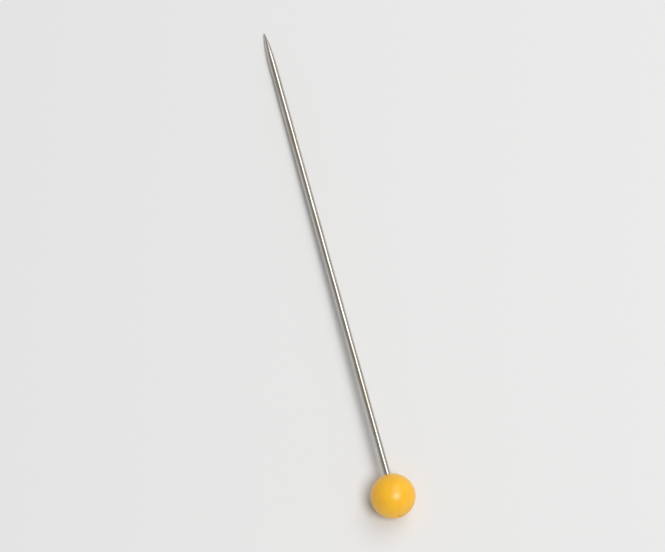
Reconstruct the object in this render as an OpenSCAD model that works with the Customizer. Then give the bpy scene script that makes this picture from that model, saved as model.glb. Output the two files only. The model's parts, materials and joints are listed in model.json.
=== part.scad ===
// Ball-headed straight pin, lying on a table as it comes to rest
// Millimetres. +Z is up, the head is at -Y and the point at +Y.
// Both pieces are drawn about the pin's own upright axis, with the crown of
// the head at height 0 and the tip at height pin_l, and are then laid down.
// The head is moulded round the flattened end of the wire, which holds it.

/* [Pin] */
// Length from the crown of the head to the tip
pin_l = 45; // [30:1:60]
// Diameter of the drawn wire
wire_d = 0.65; // [0.5:0.05:0.9]

/* [Point] */
// Length of the ground point
point_l = 3; // [2:0.5:9]
// Radius that polishing leaves at the tip
tip_r = 0.03; // [0.02:0.01:0.08]

/* [Head] */
// Diameter of the moulded ball
head_d = 3.8; // [3:0.1:6]
// Height of the parting bead above the ball
seam_h = 0.02; // [0.01:0.005:0.04]
// Radius of the parting bead's rounded section
seam_r = 0.06; // [0.05:0.01:0.1]
// Radius of the plastic's rounded edge at the wire
lip_r = 0.04; // [0.02:0.01:0.08]

/* [Gate mark on the crown] */
// Diameter of the shallow dish that keeps the gate below the ball's surface
dish_d = 1; // [0.8:0.1:1.4]
// Depth of the dish below its rim
dish_sink = 0.05; // [0.02:0.01:0.1]
// Diameter of the pit where the gate broke away
pit_d = 0.4; // [0.2:0.05:0.6]
// Depth of the pit below its rim
pit_sink = 0.16; // [0.04:0.02:0.2]

/* [Flattened wire end inside the head] */
// Plastic between the crown and the end of the wire
crown_t = 0.9; // [0.6:0.1:1.2]
// Width across the flattened end
paddle_w = 1; // [0.8:0.05:1.2]
// Thickness of the flattened end
paddle_t = 0.34; // [0.25:0.01:0.45]
// Chamfer round the cut end of the wire
paddle_edge = 0.08; // [0.02:0.02:0.12]
// Length over which the round wire flattens out
flare_l = 0.6; // [0.4:0.1:0.9]
// Distance by which the wire thins before it starts to widen
flare_lag = 0.1; // [0.05:0.05:0.2]
// Round wire inside the head, between the mouth and the flats
root_l = 0.05; // [0.02:0.01:0.3]
// Gap between the wire and the plastic moulded round it
mould_gap = 0; // [0:0.005:0.03]

/* [Hidden] */

// Segments in a full turn, in a rounded section and in the very large circle
turn_fn = 96;
section_fn = 32;
ogive_fn = 720;

head_r = head_d / 2;
wire_r = wire_d / 2;
paddle_r = paddle_w / 2;

// Mouth of the head: the plastic's rounded edge runs from the ball to the wire,
// tangent to both
lip_ring_r = wire_r + mould_gap + lip_r;
lip_rise = sqrt(pow(head_r - lip_r, 2) - pow(lip_ring_r, 2));
mouth_z = head_r + lip_rise;

// Point: an ogive tangent to the wire where it starts and to the round tip
point_z = pin_l - point_l;
tip_z = pin_l - tip_r;
ogive_run = tip_z - point_z;
ogive_r = (pow(ogive_run, 2) + pow(wire_r, 2) - pow(tip_r, 2)) / (2 * (wire_r - tip_r));
ogive_end = asin(ogive_run / (ogive_r - tip_r));
ogive_top_z = tip_z + tip_r * sin(ogive_end);

// Paddle: flats run in from the round wire, while a cone widens it sideways
flats_z = mouth_z - root_l;
cone_z = flats_z - flare_lag;
paddle_z = flats_z - flare_l;

// Parting bead: a ring of round section at the ball's equator
seam_ring_r = head_r + seam_h - seam_r;

// Gate mark: the dish's rim lies on the ball, and the pit's rim in the dish
dish_rim_z = head_r - sqrt(pow(head_r, 2) - pow(dish_d / 2, 2));
dish_r = hollow_r(dish_d, dish_sink);
dish_floor_z = dish_rim_z + dish_sink;
pit_rim_z = dish_floor_z - dish_r + sqrt(pow(dish_r, 2) - pow(pit_d / 2, 2));

// Lying down: the table touches the head at its ball or its bead, and the
// point at its ogive or its tip. Each is a round of the section, given as
// [centre's distance from the axis, centre's height, radius].
ball_round = [0, head_r, head_r];
seam_round = [seam_ring_r, head_r, seam_r];
ogive_round = [wire_r - ogive_r, point_z, ogive_r];
tip_round = [0, tip_z, tip_r];
ogive_tilt = max(table_tilt(ball_round, ogive_round), table_tilt(seam_round, ogive_round));
tip_tilt = max(table_tilt(ball_round, tip_round), table_tilt(seam_round, tip_round));
lie_tilt = ogive_tilt < ogive_end ? ogive_tilt : tip_tilt;

// The dish takes the crown away, so the head ends at the dish's rim
dish_angle = asin(dish_d / head_d);
crown_reach = head_r * cos(max(0, dish_angle - lie_tilt));

// Centre of the ball, with the origin midway between crown and tip
head_y = (crown_reach - (tip_z - head_r) * cos(lie_tilt) - tip_r) / 2;
head_z = max(head_r, seam_ring_r * cos(lie_tilt) + seam_r);

// Radius of the round hollow that is d wide at its rim and sink deep
function hollow_r(d, sink) = (pow(d / 2, 2) + pow(sink, 2)) / (2 * sink);

// Angle between the axis and a table that touches the rounds a and b
function table_tilt(a, b) = atan2(a[0] - b[0], b[1] - a[1])
    + asin((a[2] - b[2]) / norm([a[0] - b[0], b[1] - a[1]]));

// Lays a pin down from its own axis: crown towards -Y, tip towards +Y
module lie_down() {
    translate([0, head_y, head_z])
        rotate([-90 - lie_tilt, 0, 0])
            translate([0, 0, -head_r])
                children();
}

// Keeps the half of a section that is revolved
module half_section() {
    intersection() {
        children();
        translate([0, -pin_l])
            square([pin_l, 3 * pin_l]);
    }
}

module point_section() {
    intersection() {
        translate([wire_r - ogive_r, point_z])
            circle(r = ogive_r, $fn = ogive_fn);
        translate([0, point_z])
            square([wire_r, ogive_top_z - point_z]);
    }
    translate([0, tip_z])
        circle(r = tip_r, $fn = section_fn);
}

// Section of the wire and the paddle's width, from the cut end to the point
module wire_section(gap) {
    polygon([
        [0, crown_t - gap],
        [paddle_r - paddle_edge + gap, crown_t - gap],
        [paddle_r + gap, crown_t + paddle_edge],
        [paddle_r + gap, paddle_z],
        [wire_r + gap, cone_z],
        [wire_r + gap, point_z],
        [0, point_z]
    ]);
    point_section();
}

// What the flats take off one side: upright beside the paddle, then sloping
// out until it clears the round wire
module flat_cut(gap) {
    slope = (flats_z - paddle_z) / (wire_r - paddle_t / 2);
    flat_y = paddle_t / 2 + gap;
    rotate([90, 0, 90])
        linear_extrude(height = 2 * paddle_w, center = true)
            polygon([
                [flat_y, 0],
                [flat_y, paddle_z],
                [flat_y + paddle_w, paddle_z + paddle_w * slope],
                [flat_y + paddle_w, 0]
            ]);
}

// The whole wire, grown by gap where the head is moulded round it
module wire(gap) {
    difference() {
        rotate_extrude($fn = turn_fn)
            half_section()
                wire_section(gap);
        for (side = [0, 1])
            mirror([0, side, 0])
                flat_cut(gap);
    }
}

module ball_section() {
    translate([0, head_r])
        circle(r = head_r, $fn = turn_fn);
    translate([seam_ring_r, head_r])
        circle(r = seam_r, $fn = section_fn);
}

// What the rounded edge takes off the ball, beside and above the edge's circle
module lip_section() {
    difference() {
        polygon([
            [0, mouth_z],
            [lip_ring_r, mouth_z],
            [2 * lip_ring_r, mouth_z + lip_rise],
            [0, mouth_z + lip_rise]
        ]);
        translate([lip_ring_r, mouth_z])
            circle(r = lip_r, $fn = section_fn);
    }
}

module gate_section() {
    translate([0, dish_floor_z - dish_r])
        circle(r = dish_r, $fn = turn_fn);
    translate([0, pit_rim_z + pit_sink - hollow_r(pit_d, pit_sink)])
        circle(r = hollow_r(pit_d, pit_sink), $fn = turn_fn);
}

module shaft() {
    color([0.75, 0.73, 0.7])
        lie_down()
            wire(0);
}

module head() {
    color([1, 0.72, 0.16])
        lie_down()
            difference() {
                rotate_extrude($fn = turn_fn)
                    half_section()
                        difference() {
                            ball_section();
                            gate_section();
                            lip_section();
                        }
                wire(mould_gap);
            }
}

shaft();
head();
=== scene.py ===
import json
import math
import bpy
from mathutils import Matrix, Vector


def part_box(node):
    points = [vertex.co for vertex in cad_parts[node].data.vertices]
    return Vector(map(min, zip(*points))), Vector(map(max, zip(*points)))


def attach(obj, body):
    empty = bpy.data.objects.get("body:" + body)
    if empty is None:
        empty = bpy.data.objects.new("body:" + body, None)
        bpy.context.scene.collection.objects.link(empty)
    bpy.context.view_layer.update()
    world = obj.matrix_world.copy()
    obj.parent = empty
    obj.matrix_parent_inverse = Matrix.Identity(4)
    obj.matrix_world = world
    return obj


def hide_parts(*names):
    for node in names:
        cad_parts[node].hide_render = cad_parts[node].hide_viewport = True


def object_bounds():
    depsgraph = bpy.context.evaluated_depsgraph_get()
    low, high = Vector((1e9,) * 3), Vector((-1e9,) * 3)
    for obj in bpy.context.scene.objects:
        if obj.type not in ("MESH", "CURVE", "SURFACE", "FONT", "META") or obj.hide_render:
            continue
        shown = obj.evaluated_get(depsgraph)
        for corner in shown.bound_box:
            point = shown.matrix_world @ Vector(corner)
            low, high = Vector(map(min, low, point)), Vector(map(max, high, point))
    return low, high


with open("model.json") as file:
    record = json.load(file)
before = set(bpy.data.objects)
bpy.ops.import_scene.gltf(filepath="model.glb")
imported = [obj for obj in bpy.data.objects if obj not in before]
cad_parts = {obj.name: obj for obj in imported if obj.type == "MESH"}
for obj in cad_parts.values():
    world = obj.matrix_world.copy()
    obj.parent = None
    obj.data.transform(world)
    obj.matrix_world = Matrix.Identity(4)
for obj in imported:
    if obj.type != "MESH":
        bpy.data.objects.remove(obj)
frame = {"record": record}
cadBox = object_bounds()
mm = 0.001  # m
quarterTurn = math.pi / 2


# A socket in a node tree. Arithmetic on it adds Math nodes to that tree.
class Flow:
    def __init__(self, tree, socket=None):
        self.tree = tree
        self.socket = socket

    # Adds any node: its settings first, then the values or links of its sockets
    def node(self, kind, settings={}, inputs={}, output=0):
        made = self.tree.nodes.new(kind)
        for name, value in settings.items():
            setattr(made, name, value)
        for name, value in inputs.items():
            for one in value if isinstance(value, list) else [value]:
                if isinstance(one, Flow):
                    self.tree.links.new(one.socket, made.inputs[name])
                else:
                    made.inputs[name].default_value = one
        return Flow(self.tree, made.outputs[output] if made.outputs else None)

    # Another output of the node that this socket is on
    def other(self, output):
        return Flow(self.tree, self.socket.node.outputs[output])

    def maths(self, operation, *values):
        return self.node("ShaderNodeMath", {"operation": operation}, dict(enumerate(values)))

    def __add__(self, value):
        return self.maths("ADD", self, value)

    def __sub__(self, value):
        return self.maths("SUBTRACT", self, value)

    def __rsub__(self, value):
        return self.maths("SUBTRACT", value, self)

    def __mul__(self, value):
        return self.maths("MULTIPLY", self, value)

    def __truediv__(self, value):
        return self.maths("DIVIDE", self, value)

    def __rtruediv__(self, value):
        return self.maths("DIVIDE", value, self)

    def __neg__(self):
        return 0 - self

    __radd__ = __add__
    __rmul__ = __mul__

    def squared(self):
        return self * self

    def root(self):
        return self.maths("SQRT", self)

    def absolute(self):
        return self.maths("ABSOLUTE", self)

    def sine(self):
        return self.maths("SINE", self)

    def cosine(self):
        return self.maths("COSINE", self)

    # The angle whose cosine this is
    def arccosine(self):
        return self.maths("ARCCOSINE", self)

    def split(self):
        x = self.node("ShaderNodeSeparateXYZ", inputs={"Vector": self})
        return x, x.other("Y"), x.other("Z")

    def joined(self, x, y, z):
        return self.node("ShaderNodeCombineXYZ", inputs={"X": x, "Y": y, "Z": z})

    # 0 up to low and 1 from high on, with a soft step between them
    def step(self, low, high):
        inputs = {"Value": self, "From Min": low, "From Max": high}
        return self.node("ShaderNodeMapRange", {"interpolation_type": "SMOOTHSTEP"}, inputs)

    # Noise of 0 to 1 on this vector
    def noise(self, scale, detail=2.0, roughness=0.5):
        inputs = {"Vector": self, "Scale": scale, "Detail": detail, "Roughness": roughness}
        return self.node("ShaderNodeTexNoise", inputs=inputs)

    def stretched(self, x, y, z):
        return self.node("ShaderNodeVectorMath", {"operation": "MULTIPLY"}, {0: self, 1: (x, y, z)})

    # From one colour to another; this flow is the share of the second
    def blend(self, colour, second):
        inputs = {"Factor": self, 6: colour, 7: second}
        return self.node("ShaderNodeMix", {"data_type": "RGBA"}, inputs, output=2)

    # Bump from this height in mm
    def bump(self):
        return self.node("ShaderNodeBump", inputs={"Strength": 1, "Distance": mm, "Height": self})


# Where the pin lies: along the mount's axis, to where the shaft's solid ends
pin = {
    "length": 45.0,  # crown to tip, mm
    "tipRadius": 0.03,  # mm
}
mount = frame["record"]["mounts"][0]
axis = Vector(mount["axis"]).normalized()
onAxis = Vector(mount["pos_m"])
wireRadius = mount["dims"]["r_mm"]
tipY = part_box("shaft")[1].y - pin["tipRadius"] * mm
tipCentre = onAxis + axis * ((tipY - onAxis.y) / axis.y)
crown = tipCentre - axis * (pin["length"] - pin["tipRadius"]) * mm
across = Vector((1, 0, 0))
turned = Matrix((across, axis.cross(across), axis)).transposed()
layDown = Matrix.Translation(crown) @ turned.to_4x4() @ Matrix.Scale(mm, 4)
print("Placed the pin, crown at", [round(v / mm, 3) for v in crown], "mm")

# How every mesh is closed and shaded
meshing = {
    "mergeWithin": 0.00004,  # mm
    "sharpFrom": 35,  # degrees between two faces
}


# A Geometry Nodes tree with named inputs: a flow to build on, and its inputs by name
def newGeometryTree(name, sizes):
    tree = bpy.data.node_groups.new(name, "GeometryNodeTree")
    for label, value in sizes.items():
        kind = "NodeSocketInt" if isinstance(value, int) else "NodeSocketFloat"
        tree.interface.new_socket(label, in_out="INPUT", socket_type=kind).default_value = value
    tree.interface.new_socket("Geometry", in_out="OUTPUT", socket_type="NodeSocketGeometry")
    start = Flow(tree)
    group = start.node("NodeGroupInput")
    return start, {label: group.other(label) for label in sizes}


def endTree(geometry):
    geometry.node("NodeGroupOutput", inputs={"Geometry": geometry})
    return geometry.tree


# Turns an outline about the Z axis: it takes the share along it and gives radius and height
def turnedBand(start, given, outline):
    counts = {"Vertices X": given["Around"] + 1, "Vertices Y": given["Steps"] + 1}
    sheet = start.node("GeometryNodeMeshGrid", inputs={"Size X": 1, "Size Y": 1, **counts})
    x, y = start.node("GeometryNodeInputPosition").split()[:2]
    angle = (x + 0.5) * math.tau
    radius, height = outline(y + 0.5)
    place = start.joined(radius * angle.cosine(), radius * angle.sine(), height)
    return start.node("GeometryNodeSetPosition", inputs={"Geometry": sheet, "Position": place})


def makeTurnedLine():
    ends = {"Radius 1": 1.0, "Height 1": 0.0, "Radius 2": 1.0, "Height 2": 1.0}
    start, given = newGeometryTree("turnedLine", {**ends, "Steps": 8, "Around": 128})

    def outline(share):
        radius = given["Radius 1"] + share * (given["Radius 2"] - given["Radius 1"])
        return radius, given["Height 1"] + share * (given["Height 2"] - given["Height 1"])

    return endTree(turnedBand(start, given, outline))


def makeTurnedArc():
    ends = {"Radius": 0.0, "Height": 0.0, "Arc": 1.0, "Angle 1": 0.0, "Angle 2": 1.0}
    start, given = newGeometryTree("turnedArc", {**ends, "Steps": 8, "Around": 128})

    def outline(share):
        angle = given["Angle 1"] + share * (given["Angle 2"] - given["Angle 1"])
        radius = given["Radius"] + given["Arc"] * angle.cosine()
        return radius, given["Height"] + given["Arc"] * angle.sine()

    return endTree(turnedBand(start, given, outline))


turnedLine = makeTurnedLine()
turnedArc = makeTurnedArc()


# Straight band from one (radius, height) to another
def line(start, around, begin, end, steps):
    inputs = {"Steps": steps, "Around": around}
    inputs["Radius 1"], inputs["Height 1"] = begin
    inputs["Radius 2"], inputs["Height 2"] = end
    return start.node("GeometryNodeGroup", {"node_tree": turnedLine}, inputs)


# Round band about the centre (radius, height), from one angle to another
def arc(start, around, centre, radius, angles, steps):
    inputs = {"Arc": radius, "Steps": steps, "Around": around}
    inputs["Radius"], inputs["Height"] = centre
    inputs["Angle 1"], inputs["Angle 2"] = angles
    return start.node("GeometryNodeGroup", {"node_tree": turnedArc}, inputs)


# Joins the bands and closes their seams and poles
def merged(start, bands):
    whole = start.node("GeometryNodeJoinGeometry", inputs={"Geometry": bands})
    inputs = {"Geometry": whole, "Distance": meshing["mergeWithin"]}
    return start.node("GeometryNodeMergeByDistance", inputs=inputs)


def finishedTree(geometry, material):
    real = geometry.node("GeometryNodeRealizeInstances", inputs={"Geometry": geometry})
    inputs = {"Geometry": real, "Material": material}
    return endTree(real.node("GeometryNodeSetMaterial", inputs=inputs))


# Runs a tree on an empty object and keeps what it makes, laid down, as a plain mesh
def makePiece(name, tree, sizes):
    piece = bpy.data.objects.new(name, bpy.data.meshes.new(name))
    bpy.context.scene.collection.objects.link(piece)
    modifier = piece.modifiers.new("sizes", "NODES")
    modifier.node_group = tree
    for item in tree.interface.items_tree:
        if item.in_out == "INPUT":
            modifier[item.identifier] = sizes[item.name]
    seen = piece.evaluated_get(bpy.context.evaluated_depsgraph_get())
    mesh = bpy.data.meshes.new_from_object(seen)
    piece.modifiers.clear()
    piece.data = mesh
    mesh.name = name
    mesh.transform(layDown)
    mesh.shade_smooth()
    mesh.set_sharp_from_angle(angle=math.radians(meshing["sharpFrom"]))
    print("Made", name, "with", len(mesh.polygons), "faces")
    return piece


# A material whose patterns follow the pin: mm from the crown, with Z along its axis
def newMaterial(name):
    material = bpy.data.materials.new(name)
    material.use_nodes = True
    material.node_tree.nodes.clear()
    start = Flow(material.node_tree)
    spot = start.node("ShaderNodeTexCoord", output="Object")
    inputs = {"Vector": spot, "Location": crown, "Rotation": turned.to_euler(), "Scale": (mm, mm, mm)}
    return material, start.node("ShaderNodeMapping", {"vector_type": "TEXTURE"}, inputs)


def surfaced(start, inputs):
    shader = start.node("ShaderNodeBsdfPrincipled", inputs=inputs)
    shader.node("ShaderNodeOutputMaterial", inputs={"Surface": shader})


# Mouth of the head, where the plastic's round edge runs in along the wire, mm
mouth = {
    "ballRadius": 1.9,
    "lipRadius": 0.04,
    "rootLength": 0.05,  # round wire inside the head, before the flats
}
lipOut = wireRadius + mouth["lipRadius"]
lipUp = math.sqrt((mouth["ballRadius"] - mouth["lipRadius"]) ** 2 - lipOut ** 2)
mouthHeight = mouth["ballRadius"] + lipUp  # from the crown

# The wire's flattened end inside the head, mm from the crown
wireEnd = {
    "Wire Radius": wireRadius,
    "Cut Height": 0.9,  # plastic between the crown and the cut end
    "Cut Chamfer": 0.08,
    "Flat Width": 1.0,
    "Flat Thickness": 0.34,
    "Flare Length": 0.6,  # over which the round wire flattens out
    "Flare Lag": 0.1,  # the wire thins this far before it widens
    "Round Height": mouthHeight - mouth["rootLength"],  # the wire is round from here on
    "Around": 128,
}


def makeWireEnd():
    start, given = newGeometryTree("wireEnd", {**wireEnd, "Top Height": mouthHeight})
    around = given["Around"]
    wireR = given["Wire Radius"]
    cut = given["Cut Height"]
    chamfer = given["Cut Chamfer"]
    flatR = given["Flat Width"] / 2
    flareFrom = given["Round Height"] - given["Flare Length"]
    coneTop = given["Round Height"] - given["Flare Lag"]
    solid = start.node("GeometryNodeJoinGeometry", inputs={"Geometry": [
        line(start, around, (0.0, cut), (flatR - chamfer, cut), 1),
        line(start, around, (flatR - chamfer, cut), (flatR, cut + chamfer), 2),
        line(start, around, (flatR, cut + chamfer), (flatR, flareFrom), 6),
        line(start, around, (flatR, flareFrom), (wireR, coneTop), 12),
        line(start, around, (wireR, coneTop), (wireR, given["Top Height"]), 4),
    ]})
    # The flats: nothing stands further out from the middle plane than they do
    x, y, z = start.node("GeometryNodeInputPosition").split()
    halfFlat = given["Flat Thickness"] / 2
    rise = (wireR - halfFlat) / given["Flare Length"]
    flat = halfFlat + start.maths("MAXIMUM", z - flareFrom, 0) * rise
    pressed = start.maths("MINIMUM", start.maths("MAXIMUM", y, -flat), flat)
    inputs = {"Geometry": solid, "Position": start.joined(x, pressed, z)}
    return endTree(start.node("GeometryNodeSetPosition", inputs=inputs))


wireEndGroup = makeWireEnd()


# The flattened end as far as a height, from the given sizes
def endBand(start, given, top):
    inputs = {label: given[label] for label in wireEnd}
    inputs["Top Height"] = top
    return start.node("GeometryNodeGroup", {"node_tree": wireEndGroup}, inputs)


# The shaft: drawn wire with a ground point
shaftSizes = {
    **wireEnd,
    "Pin Length": pin["length"],
    "Point Length": 3.0,
    "Tip Radius": pin["tipRadius"],
    "Mouth Height": mouthHeight,
}
steel = {
    "colour": (0.64, 0.6, 0.53, 1),
    "darkColour": (0.4, 0.34, 0.26, 1),  # in the drawn lines
    "brightColour": (0.74, 0.71, 0.65, 1),  # freshly ground
    "roughness": 0.19,
    "drawnDepth": 0.003,  # mm, as the other depths
    "fineDepth": 0.0008,
    "groundDepth": 0.0014,  # of the lines round the point
    "nickDepth": 0.001,
    "pointFade": 0.5,  # mm over which the drawn lines end at the point
}


def makeSteel(look, sizes):
    material, place = newMaterial("platedSteel")
    z = place.split()[2]
    pointFrom = sizes["Pin Length"] - sizes["Point Length"]
    onPoint = z.step(pointFrom, pointFrom + look["pointFade"])
    # Patterns: a small stretch along an axis draws the marks out along it, and the noise's first
    # number is how many there are to a mm
    drawn = place.stretched(1, 1, 0.03).noise(14, 3, 0.6)
    fine = place.stretched(1, 1, 0.04).noise(55, 2, 0.6)
    ground = place.stretched(0.08, 0.08, 1).noise(40, 2, 0.6)
    cloud = place.stretched(1, 1, 0.25).noise(1.8, 2)
    nick = place.stretched(1, 1, 0.6).noise(7, 1).step(0.7, 0.76)
    dark = drawn.step(0.4, 0.7) * 0.4 + cloud.step(0.4, 0.7) * 0.3
    colour = dark.blend(look["colour"], look["darkColour"])
    colour = (onPoint * (0.2 + ground * 0.3)).blend(colour, look["brightColour"])
    roughness = look["roughness"] + (drawn - 0.5) * 0.14 + (cloud - 0.5) * 0.1
    roughness = roughness + onPoint * 0.05 + nick * 0.12
    lines = drawn * look["drawnDepth"] + fine * look["fineDepth"]
    height = lines * (1 - onPoint) + ground * onPoint * look["groundDepth"] - nick * look["nickDepth"]
    surfaced(place, {
        "Base Color": colour,
        "Metallic": 1,
        "Roughness": roughness,
        "Normal": height.bump(),
    })
    return material


def makeShaftTree(sizes, material):
    start, given = newGeometryTree("pinShaft", sizes)
    around = given["Around"]
    wireR = given["Wire Radius"]
    tipR = given["Tip Radius"]
    wireFrom = given["Mouth Height"]
    pointFrom = given["Pin Length"] - given["Point Length"]
    # The point is an arc that runs on from the wire and ends in the round tip
    tipHeight = given["Pin Length"] - tipR
    run = tipHeight - pointFrom
    arcR = (run.squared() + wireR.squared() - tipR.squared()) / ((wireR - tipR) * 2)
    arcEnd = start.maths("ARCSINE", run / (arcR - tipR))
    bands = [
        endBand(start, given, wireFrom),
        line(start, around, (wireR, wireFrom), (wireR, pointFrom), 48),
        arc(start, around, (wireR - arcR, pointFrom), arcR, (0.0, arcEnd), 32),
        arc(start, around, (0.0, tipHeight), tipR, (arcEnd, quarterTurn), 8),
    ]
    return finishedTree(merged(start, bands), material)


# The head: a ball moulded round the flattened end
headSizes = {
    **wireEnd,
    "Ball Radius": mouth["ballRadius"],
    "Bead Height": 0.02,  # parting bead above the ball
    "Bead Radius": 0.06,
    "Bead Waver": 0.008,
    "Dish Width": 1.0,  # shallow dish round the gate
    "Dish Depth": 0.05,
    "Pit Width": 0.4,  # where the gate broke away
    "Pit Depth": 0.16,
    "Torn Height": 0.05,  # how far the torn plastic stands up in the pit
    "Lip Radius": mouth["lipRadius"],
}
plastic = {
    "colour": (0.95, 0.51, 0.022, 1),
    "deepColour": (0.88, 0.38, 0.01, 1),  # in the swirls, and as painted shade in the gate mark's dish and pit
    "paleColour": (0.97, 0.6, 0.1, 1),  # on the scuffs, and as a painted highlight along the bead
    "roughness": 0.35,
    "swirlDepth": 0.004,  # mm, as the other depths
    "peelDepth": 0.0012,  # the soft unevenness of a moulded surface
    "grainDepth": 0.00008,
    "scuffDepth": 0.0002,
    "tornDepth": 0.006,
    "shader": {
        "IOR": 1.5,
        "Specular IOR Level": 0.44,
        "Subsurface Weight": 0.35,
        "Subsurface Radius": (1, 0.45, 0.1),
        "Subsurface Scale": 0.6 * mm,
        "Coat Weight": 0.12,
        "Coat Roughness": 0.18,
    },
}


# 1 at the gate mark's end of the head and 0 in the rest, by the height in mm from the crown
def nearCrown(z):
    return 1 - z.step(0.35, 0.45)


def makePlastic(look, sizes):
    material, place = newMaterial("goldenPlastic")
    x, y, z = place.split()
    fromAxis = (x.squared() + y.squared()).root()
    dishHalf = sizes["Dish Width"] / 2
    pitHalf = sizes["Pit Width"] / 2
    inDish = nearCrown(z) * (1 - fromAxis.step(dishHalf * 0.92, dishHalf * 1.04))
    inPit = nearCrown(z) * (1 - fromAxis.step(pitHalf * 0.7, pitHalf * 1.1))
    onBead = 1 - (z - sizes["Ball Radius"]).absolute().step(0.02, 0.07)
    swirl = place.stretched(1, 1, 0.5).noise(1.1, 3, 0.55)
    peel = place.noise(5, 2)
    grain = place.noise(30, 2, 0.6)
    scuff = place.stretched(0.25, 4, 1.5).noise(2.2, 2).step(0.62, 0.74)
    scuff = scuff * place.noise(0.9, 1).step(0.45, 0.6)
    # Deeper colour in the swirls, and painted shade darkening the gate mark's dish and pit
    swirlAndPaintedShade = swirl.step(0.35, 0.75) * 0.25 + inDish * 0.15 + inPit * 0.45
    colour = swirlAndPaintedShade.blend(look["colour"], look["deepColour"])
    # Paler on the scuffs, and a painted highlight along the parting bead
    colour = (onBead * 0.1 + scuff * 0.08).blend(colour, look["paleColour"])
    roughness = look["roughness"] + (grain - 0.5) * 0.08 + onBead * 0.08
    roughness = roughness + inDish * 0.1 + inPit * 0.2 + scuff * 0.1
    height = swirl * look["swirlDepth"] + peel * look["peelDepth"] + grain * look["grainDepth"]
    height = height - scuff * look["scuffDepth"] + inPit * grain * look["tornDepth"]
    surfaced(place, {
        "Base Color": colour,
        "Roughness": roughness,
        "Normal": height.bump(),
        **look["shader"],
    })
    return material


def makeHeadTree(sizes, material):
    start, given = newGeometryTree("pinHead", sizes)
    around = given["Around"]
    ballR = given["Ball Radius"]
    wireR = given["Wire Radius"]
    beadR = given["Bead Radius"]
    beadRing = ballR + given["Bead Height"] - beadR
    # Where the bead's round section meets the ball, seen from the ball's centre and from its own
    meets = (beadRing.squared() + ballR.squared() - beadR.squared()) / (beadRing * ballR * 2)
    beadAngle = meets.arccosine()
    beadTurn = start.maths("ARCTAN2", beadAngle.sine() * ballR, meets * ballR - beadRing)
    # Gate mark: the dish's rim lies on the ball, and the pit's rim in the dish
    dishHalf = given["Dish Width"] / 2
    dishDeep = given["Dish Depth"]
    pitHalf = given["Pit Width"] / 2
    pitDeep = given["Pit Depth"]
    dishR = (dishHalf.squared() + dishDeep.squared()) / (dishDeep * 2)
    pitR = (pitHalf.squared() + pitDeep.squared()) / (pitDeep * 2)
    dishRim = ballR - (ballR.squared() - dishHalf.squared()).root()
    dishCentre = dishRim + dishDeep - dishR
    pitRim = dishCentre + (dishR.squared() - pitHalf.squared()).root()
    pitCentre = pitRim + pitDeep - pitR
    pitAngle = (pitHalf / pitR).arccosine()
    dishAngles = ((pitHalf / dishR).arccosine(), (dishHalf / dishR).arccosine())
    rimAngle = (dishHalf / ballR).arccosine()
    # Round edge at the wire, tangent to it and to the ball
    lipR = given["Lip Radius"]
    lipRing = wireR + lipR
    lipRise = ((ballR - lipR).squared() - lipRing.squared()).root()
    lipAngle = start.maths("ARCTAN2", lipRise, lipRing)
    middle = (0.0, ballR)
    bands = [
        arc(start, around, (0.0, pitCentre), pitR, (quarterTurn, pitAngle), 24),
        arc(start, around, (0.0, dishCentre), dishR, dishAngles, 8),
        arc(start, around, middle, ballR, (-rimAngle, -beadAngle), 36),
        arc(start, around, (beadRing, ballR), beadR, (-beadTurn, beadTurn), 8),
        arc(start, around, middle, ballR, (beadAngle, lipAngle), 40),
        arc(start, around, (lipRing, ballR + lipRise), lipR, (lipAngle, math.pi), 6),
        start.node("GeometryNodeFlipFaces", inputs={"Mesh": endBand(start, given, ballR + lipRise)}),
    ]
    # The bead wavers a little, and torn plastic stands up in the pit
    position = start.node("GeometryNodeInputPosition")
    x, y, z = position.split()
    fromAxis = (x.squared() + y.squared()).root()
    onBead = 1 - (z - ballR).absolute().step(0.0, beadR)
    outside = fromAxis.step(ballR * 0.9, ballR * 0.95)
    waver = 1 - onBead * outside * position.noise(1.6, 2) * given["Bead Waver"] / ballR
    inPit = nearCrown(z) * (1 - fromAxis.step(pitHalf * 0.4, pitHalf * 0.9))
    torn = inPit * position.noise(9, 2).step(0.35, 0.7) * given["Torn Height"]
    place = start.joined(x * waver, y * waver, z - torn)
    inputs = {"Geometry": merged(start, bands), "Position": place}
    return finishedTree(start.node("GeometryNodeSetPosition", inputs=inputs), material)


shaft = makePiece("steelShaft", makeShaftTree(shaftSizes, makeSteel(steel, shaftSizes)), shaftSizes)
head = makePiece("plasticHead", makeHeadTree(headSizes, makePlastic(plastic, headSizes)), headSizes)
for piece, node, slot in ((shaft, "shaft", "plated_steel"), (head, "head", "yellow_plastic")):
    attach(piece, "root")
    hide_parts(node)


# Floor, sky, lamps and camera
studio = {
    "floorColour": (0.76, 0.755, 0.745, 1),
    "floorRoughness": 0.7,
    "floorIOR": 1.3,
    "floorWidth": 3.0,  # m
    "horizon": (0.52, 0.53, 0.54, 1),
    "zenith": (0.26, 0.265, 0.275, 1),
    "cameraHeight": 75,  # degrees above the floor
    "pinLean": 14.9,  # degrees; the camera's turn, which leans the pin to the left
    "lens": 190,  # mm
    "distance": 0.3,  # m
    "clipStart": 0.01,  # m
    "aim": -0.8,  # mm along the pin from the middle of its box
}
lamps = {
    # Degrees to the right of the camera and up past it, distance and size in m, power in W
    "key": {"right": 17, "up": 2, "distance": 0.6, "size": (0.28, 0.28), "power": 2.0},
    "top": {"right": 24, "up": 40, "distance": 0.5, "size": (0.3, 0.4), "power": 0.75},
}
target = (cadBox[0] + cadBox[1]) / 2 + axis * studio["aim"] * mm
lean = math.radians(studio["pinLean"])
cameraRise = math.radians(studio["cameraHeight"])
right = Vector((math.cos(lean), -math.sin(lean), 0))
ahead = Vector((math.sin(lean), math.cos(lean), 0))
toCamera = Vector((0, 0, math.sin(cameraRise))) - ahead * math.cos(cameraRise)
upward = toCamera.cross(right)


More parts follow.
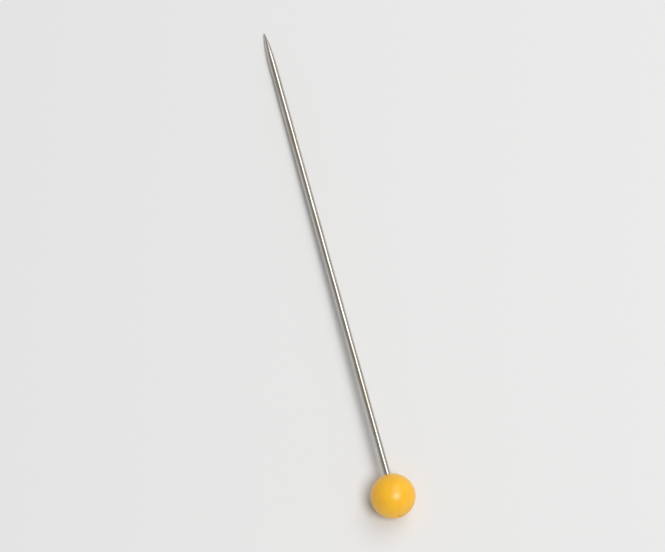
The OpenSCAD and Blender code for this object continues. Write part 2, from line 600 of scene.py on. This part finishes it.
def makeFloor(look):
    half = look["floorWidth"] / 2
    corners = [(-half, -half, 0), (half, -half, 0), (half, half, 0), (-half, half, 0)]
    mesh = bpy.data.meshes.new("floor")
    mesh.from_pydata(corners, [], [(0, 1, 2, 3)])
    material = bpy.data.materials.new("paleFloor")
    material.use_nodes = True
    material.node_tree.nodes.clear()
    surfaced(Flow(material.node_tree), {
        "Base Color": look["floorColour"],
        "Roughness": look["floorRoughness"],
        "IOR": look["floorIOR"],
    })
    mesh.materials.append(material)
    floor = bpy.data.objects.new("floor", mesh)
    bpy.context.scene.collection.objects.link(floor)


def makeSky(look):
    world = bpy.data.worlds.new("studio")
    bpy.context.scene.world = world
    world.use_nodes = True
    world.node_tree.nodes.clear()
    z = Flow(world.node_tree).node("ShaderNodeTexCoord", output="Generated").split()[2]
    colour = z.step(0.05, 0.9).blend(look["horizon"], look["zenith"])
    light = z.node("ShaderNodeBackground", inputs={"Color": colour, "Strength": 1})
    light.node("ShaderNodeOutputWorld", inputs={"Surface": light})


# Puts a lamp or the camera on a line from the target, looking back along it with the pin upright
def aimed(name, data, towards, distance):
    sideways = upward.cross(towards).normalized()
    facing = Matrix((sideways, towards.cross(sideways), towards)).transposed()
    thing = bpy.data.objects.new(name, data)
    thing.matrix_world = Matrix.Translation(target + towards * distance) @ facing.to_4x4()
    bpy.context.scene.collection.objects.link(thing)
    return thing


def makeCamera(look):
    camera = bpy.data.cameras.new("camera")
    camera.lens = look["lens"]
    camera.clip_start = look["clipStart"]
    bpy.context.scene.camera = aimed("camera", camera, toCamera, look["distance"])


def makeLamp(name, look):
    light = bpy.data.lights.new(name, "AREA")
    light.shape = "ELLIPSE"
    light.size, light.size_y = look["size"]
    light.energy = look["power"]
    sideways = right * math.tan(math.radians(look["right"]))
    past = upward * math.tan(math.radians(look["up"]))
    aimed(name, light, (toCamera + sideways + past).normalized(), look["distance"])


makeFloor(studio)
makeSky(studio)
makeCamera(studio)
for name, look in lamps.items():
    makeLamp(name, look)
bpy.context.scene.view_settings.view_transform = "Standard"
print("Set the studio")
